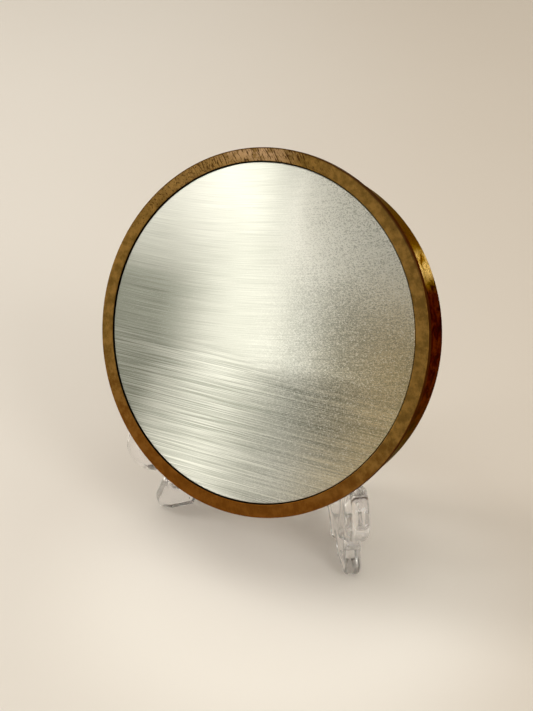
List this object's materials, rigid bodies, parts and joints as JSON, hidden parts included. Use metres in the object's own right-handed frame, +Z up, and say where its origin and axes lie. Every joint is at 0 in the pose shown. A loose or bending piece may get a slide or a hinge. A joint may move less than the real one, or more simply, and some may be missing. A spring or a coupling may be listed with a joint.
{
  "type": "extendable shaving mirror",
  "caption": "Round brushed-metal mirror in a brass rim that closes a shallow drum; folding tongs inside push it straight out, and a clear hinged scroll stand holds it.",
  "frame": {"origin": "On the table, under the middle of the object's outline seen from above, at its lowest point.", "axes": "+Z up. The mirror faces -Y and leans back 23 degrees. +X is to the right when looking at the mirror."},
  "size_m": [0.1, 0.0558, 0.1149],
  "materials": {
    "aged_brass": "aged, satin, fine strokes and small dark pits",
    "lacquered_copper": "polished and lacquered dark red-brown",
    "brushed_silver": "long straight brush lines, semi-mirror",
    "plain_steel": "plain drawn steel",
    "cork": "raw cork sheet",
    "clear_plastic": "clear, moulded, polished"
  },
  "bodies": {
    "stand_left": {"stand_left_frame": "clear_plastic", "stand_hinge_pin": "clear_plastic"},
    "stand_right": {"stand_right_frame": "clear_plastic"},
    "drum": {"drum_wall": "lacquered_copper", "drum_back_plate": "aged_brass", "back_plate_screw_1": "plain_steel", "back_plate_screw_2": "plain_steel", "back_plate_screw_3": "plain_steel", "back_plate_screw_4": "plain_steel", "base_channel": "plain_steel", "base_channel_screw_1": "plain_steel", "base_channel_screw_2": "plain_steel", "base_pivot_pin": "plain_steel"},
    "link_a1": {"tong_link_a1": "plain_steel", "centre_rivet_1": "plain_steel", "side_rivet_lower": "plain_steel"},
    "link_b1": {"tong_link_b1": "plain_steel", "base_slider_pin": "plain_steel", "side_rivet_upper": "plain_steel"},
    "link_a2": {"tong_link_a2": "plain_steel", "centre_rivet_2": "plain_steel", "head_slider_pin": "plain_steel"},
    "link_b2": {"tong_link_b2": "plain_steel"},
    "head": {"bezel_ring": "aged_brass", "mirror_plate": "brushed_silver", "cork_backing": "cork", "head_back_disc": "plain_steel", "retaining_clip": "plain_steel", "head_channel": "plain_steel", "head_channel_screw_1": "plain_steel", "head_channel_screw_2": "plain_steel", "head_pivot_pin": "plain_steel"}
  },
  "joints": [
    {"name": "stand_spread", "type": "hinge", "parent": "stand_left", "child": "stand_right", "pos_m": [0, 0.02467, 0], "axis": [0, 0, 1], "range_deg": [0, 25]},
    {"name": "mirror_lift", "type": "slide", "parent": "stand_left", "child": "drum", "axis": [0, 0.3907, 0.9205], "range_m": [0, 0.12]},
    {"name": "mirror_extend", "type": "hinge", "parent": "drum", "child": "link_a1", "pos_m": [0, 0.01906, 0.09964], "axis": [-1, 0, 0], "range_deg": [0, 57.6]},
    {"name": "cross_1", "type": "hinge", "parent": "link_a1", "child": "link_b1", "pos_m": [0, 0.00238, 0.06439], "axis": [1, 0, 0], "range_deg": [0, 115.4]},
    {"name": "side_1", "type": "hinge", "parent": "link_b1", "child": "link_a2", "pos_m": [0, 0.01616, 0.10087], "axis": [-1, 0, 0], "range_deg": [0, 115.4]},
    {"name": "cross_2", "type": "hinge", "parent": "link_a2", "child": "link_b2", "pos_m": [0, -0.00052, 0.06562], "axis": [1, 0, 0], "range_deg": [0, 115.4]},
    {"name": "head_keep_level", "type": "hinge", "parent": "link_b2", "child": "head", "pos_m": [0, 0.01326, 0.1021], "axis": [-1, 0, 0], "range_deg": [0, 57.8]}
  ],
  "couplings": [
    {"joint": "cross_1", "follows": "mirror_extend", "ratio": 2},
    {"joint": "side_1", "follows": "mirror_extend", "ratio": 2},
    {"joint": "cross_2", "follows": "mirror_extend", "ratio": 2},
    {"joint": "head_keep_level", "follows": "mirror_extend", "ratio": 1}
  ]
}
